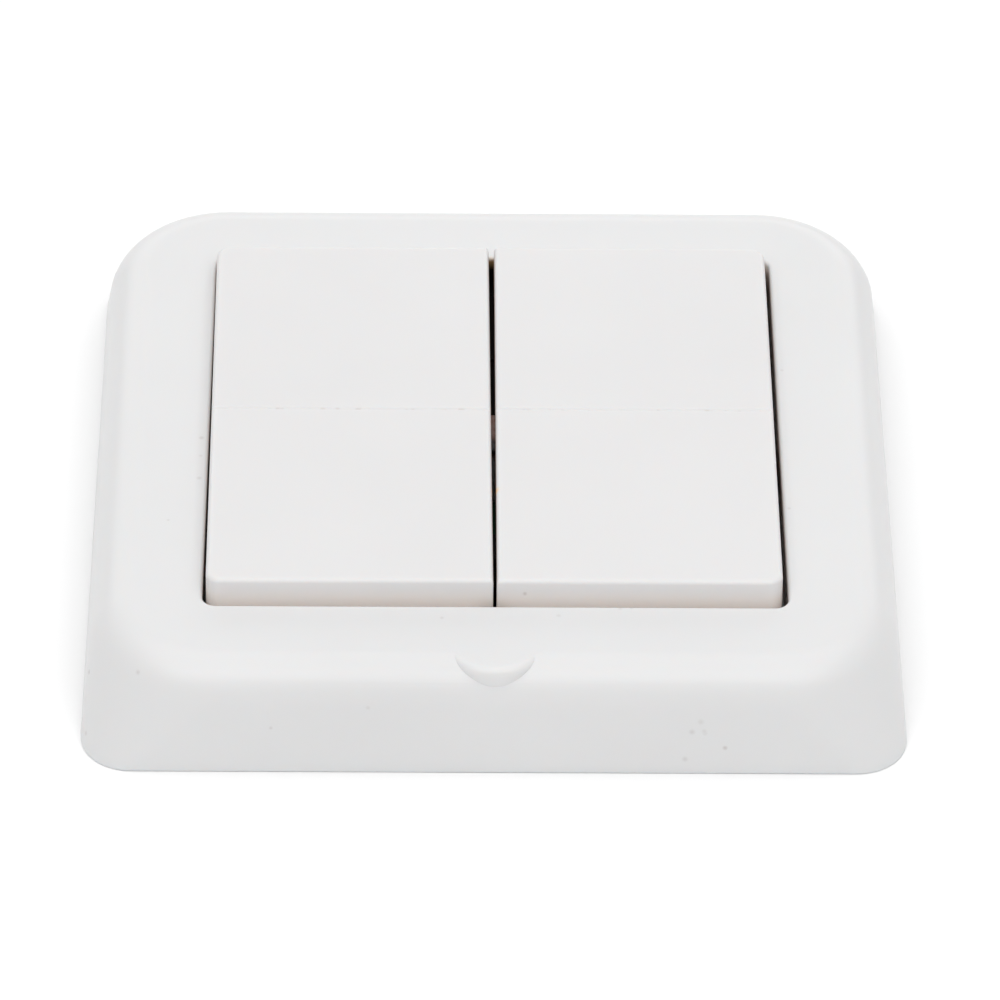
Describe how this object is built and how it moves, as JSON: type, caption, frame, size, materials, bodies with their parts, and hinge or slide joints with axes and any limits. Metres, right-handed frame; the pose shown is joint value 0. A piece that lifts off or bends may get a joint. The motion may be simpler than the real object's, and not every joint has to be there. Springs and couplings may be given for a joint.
{
  "type": "wireless remote wall switch",
  "caption": "Battery powered wall transmitter with side by side rockers in a square frame that snaps on a screwed wall plate.",
  "frame": {"origin": "centre of the wall face, at the lowest point of the part as it lies on its back", "axes": "+Z out of the wall through the rockers, +Y up the wall, +X to the right of someone facing the wall"},
  "size_m": [0.08, 0.08, 0.0136],
  "materials": {
    "frame": "fine satin moulded plastic, white",
    "rocker": "satin moulded plastic, white",
    "chassis": "moulded plastic, white",
    "plate": "moulded plastic, white",
    "board": "brown paper laminate",
    "screw": "zinc plated steel",
    "contact": "tinned spring metal",
    "cell": "nickel plated steel can",
    "holder": "black moulded plastic",
    "chip": "black moulded package",
    "can": "drawn metal can",
    "wire": "tinned wire",
    "capacitor": "tan ceramic",
    "resistor": "black glaze on ceramic",
    "leaf": "stamped spring steel",
    "switch_case": "black moulded plastic",
    "shield": "pressed tinplate",
    "plunger": "black moulded plastic"
  },
  "bodies": {
    "housing": {"frame_cover": "frame", "chassis": "chassis", "wall_plate": "plate", "circuit_board": "board", "board_screws": "screw", "switch_leads": "contact", "coin_cell": "cell", "battery_holder": "holder", "battery_clip": "contact", "battery_contact": "contact", "encoder_chip": "chip", "encoder_leads": "contact", "resonator_can": "can", "output_transistor": "chip", "antenna_loop": "wire", "chip_capacitors": "capacitor", "chip_resistors": "resistor", "leaf_spring_left": "leaf", "switch_case_left_upper": "switch_case", "switch_shield_left_upper": "shield", "switch_case_left_lower": "switch_case", "switch_shield_left_lower": "shield", "leaf_spring_right": "leaf", "switch_case_right_upper": "switch_case", "switch_shield_right_upper": "shield", "switch_case_right_lower": "switch_case", "switch_shield_right_lower": "shield"},
    "rocker_left": {"rocker_left": "rocker"},
    "rocker_right": {"rocker_right": "rocker"},
    "plunger_left_upper": {"plunger_left_upper": "plunger"},
    "plunger_left_lower": {"plunger_left_lower": "plunger"},
    "plunger_right_upper": {"plunger_right_upper": "plunger"},
    "plunger_right_lower": {"plunger_right_lower": "plunger"}
  },
  "joints": [
    {"name": "rock_left", "type": "hinge", "parent": "housing", "child": "rocker_left", "pos_m": [-0.014, 0, 0.0089], "axis": [1, 0, 0], "range_deg": [-2.4, 2.4], "stiffness_Nm_per_rad": 1.2, "deforming": ["leaf_spring_left"]},
    {"name": "rock_right", "type": "hinge", "parent": "housing", "child": "rocker_right", "pos_m": [0.014, 0, 0.0089], "axis": [1, 0, 0], "range_deg": [-2.4, 2.4], "stiffness_Nm_per_rad": 1.2, "deforming": ["leaf_spring_right"]},
    {"name": "press_left_upper", "type": "slide", "parent": "housing", "child": "plunger_left_upper", "axis": [0, 0, 1], "range_m": [-0.00025, 0], "stiffness_N_per_m": 800},
    {"name": "press_left_lower", "type": "slide", "parent": "housing", "child": "plunger_left_lower", "axis": [0, 0, 1], "range_m": [-0.00025, 0], "stiffness_N_per_m": 800},
    {"name": "press_right_upper", "type": "slide", "parent": "housing", "child": "plunger_right_upper", "axis": [0, 0, 1], "range_m": [-0.00025, 0], "stiffness_N_per_m": 800},
    {"name": "press_right_lower", "type": "slide", "parent": "housing", "child": "plunger_right_lower", "axis": [0, 0, 1], "range_m": [-0.00025, 0], "stiffness_N_per_m": 800}
  ]
}
